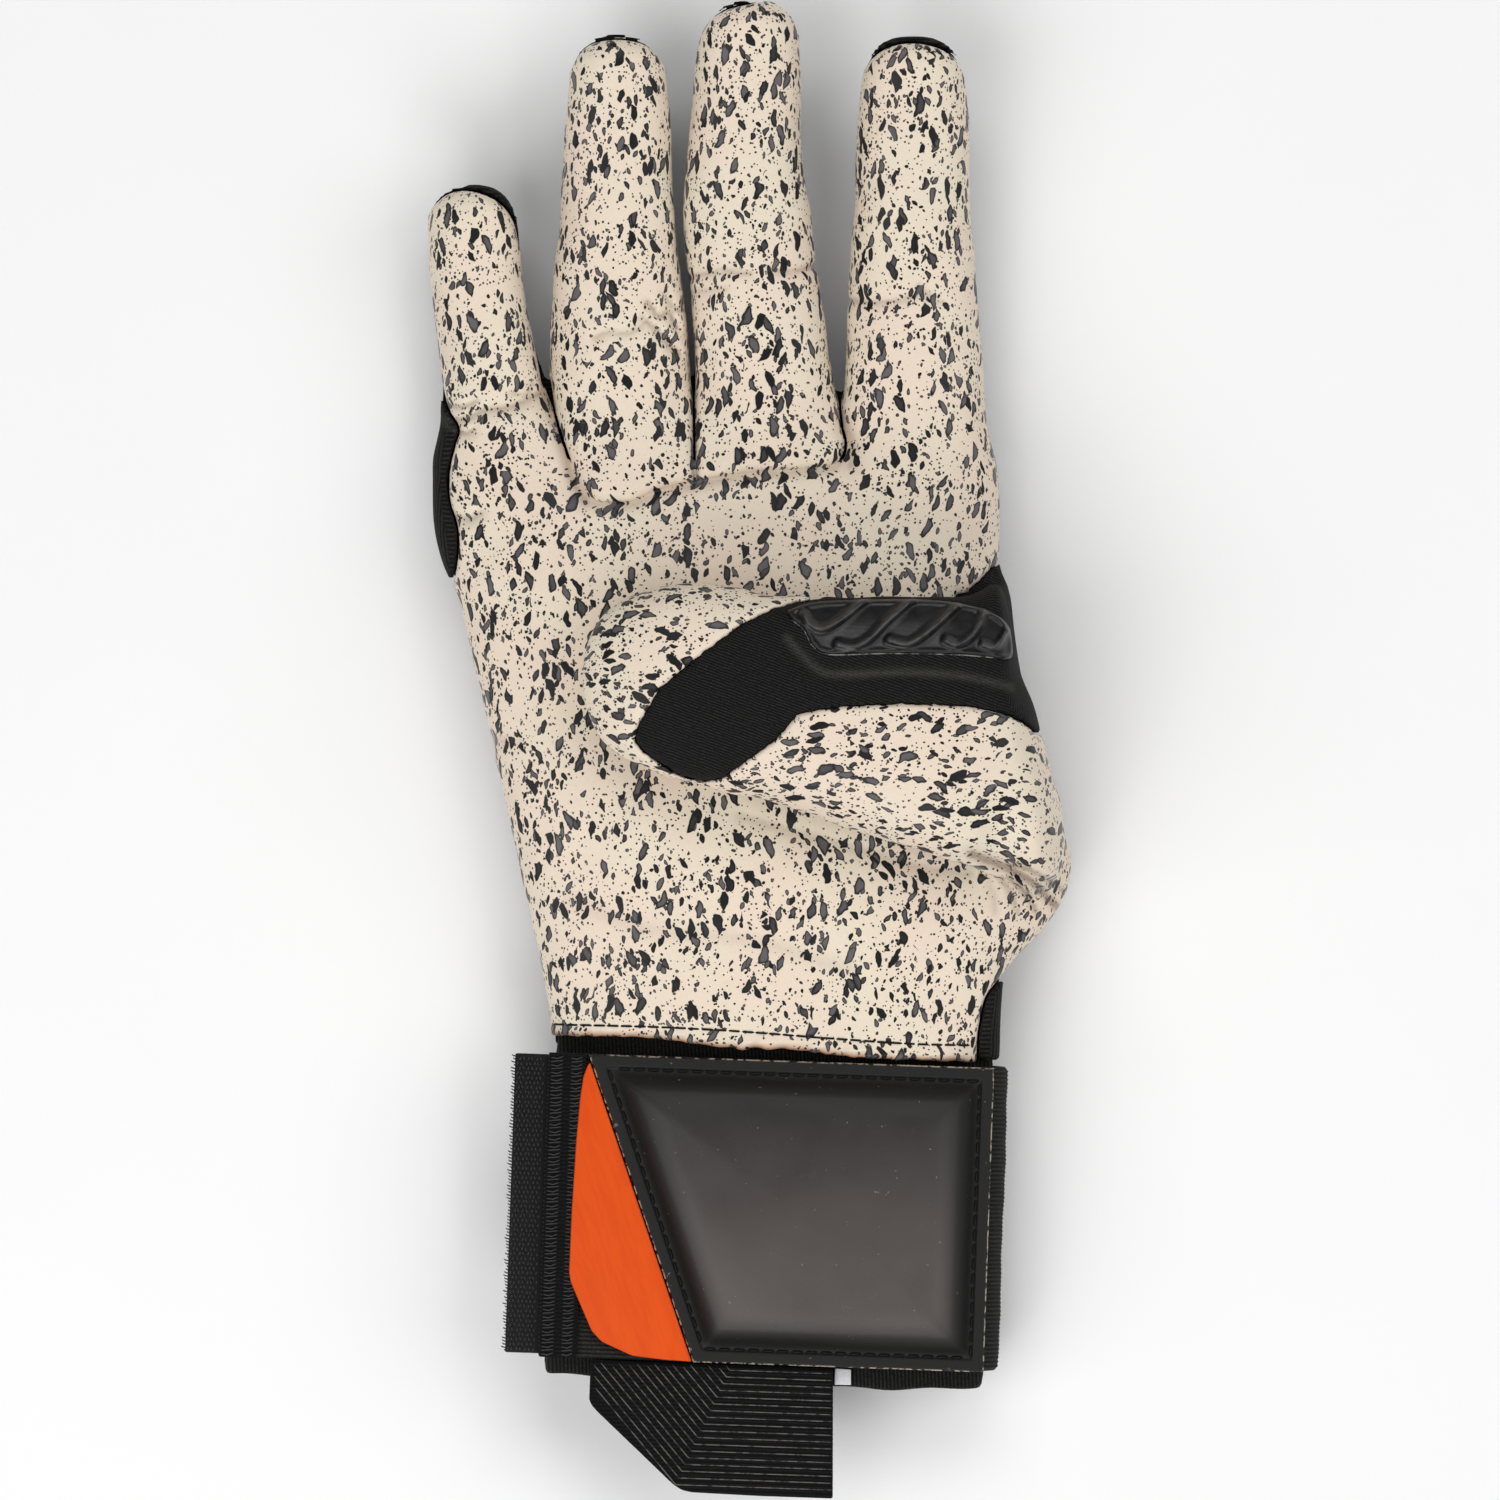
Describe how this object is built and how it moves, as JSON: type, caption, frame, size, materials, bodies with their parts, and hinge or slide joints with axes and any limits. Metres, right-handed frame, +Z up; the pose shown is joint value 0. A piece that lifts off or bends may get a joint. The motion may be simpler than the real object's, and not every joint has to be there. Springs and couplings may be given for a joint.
{
  "type": "goalkeeper glove",
  "caption": "Padded ball-sport glove lying palm up, speckled latex palm, thumb folded across, black wrist strap with raised pad, orange panel and pull tab",
  "frame": {"origin": "middle of the underside of the bounding box, on the surface that the glove lies on", "axes": "+Y along the fingers, +X towards the thumb side, +Z up out of the palm"},
  "size_m": [0.1288, 0.2992, 0.0503],
  "materials": {
    "latex": "cream foam latex with black speckles, satin",
    "black_fabric": "fine black twill stretch fabric",
    "backhand_fabric": "matt black padded knit",
    "grip_rubber": "moulded glossy black rubber",
    "elastic": "ribbed black elastic",
    "strap_elastic": "black woven elastic with brushed loops",
    "hook_nylon": "black nylon hooks",
    "woven_trim": "woven black tape with light chevron threads",
    "orange_panel": "satin orange coated panel",
    "pad_skin": "smooth satin black synthetic leather over foam",
    "label_satin": "white satin label, bare"
  },
  "bodies": {
    "root": {"palm_latex": "latex", "middle_finger_latex": "latex", "ring_finger_latex": "latex", "thumb_latex": "latex", "thumb_back_fabric": "black_fabric", "backhand": "backhand_fabric", "thumb_grip_ribs": "grip_rubber", "cuff": "elastic", "wrist_strap": "strap_elastic", "hook_tape": "hook_nylon", "edge_binding": "woven_trim", "orange_trim": "orange_panel", "strap_pad": "pad_skin", "pull_tab": "woven_trim", "care_label": "label_satin"}
  },
  "joints": []
}
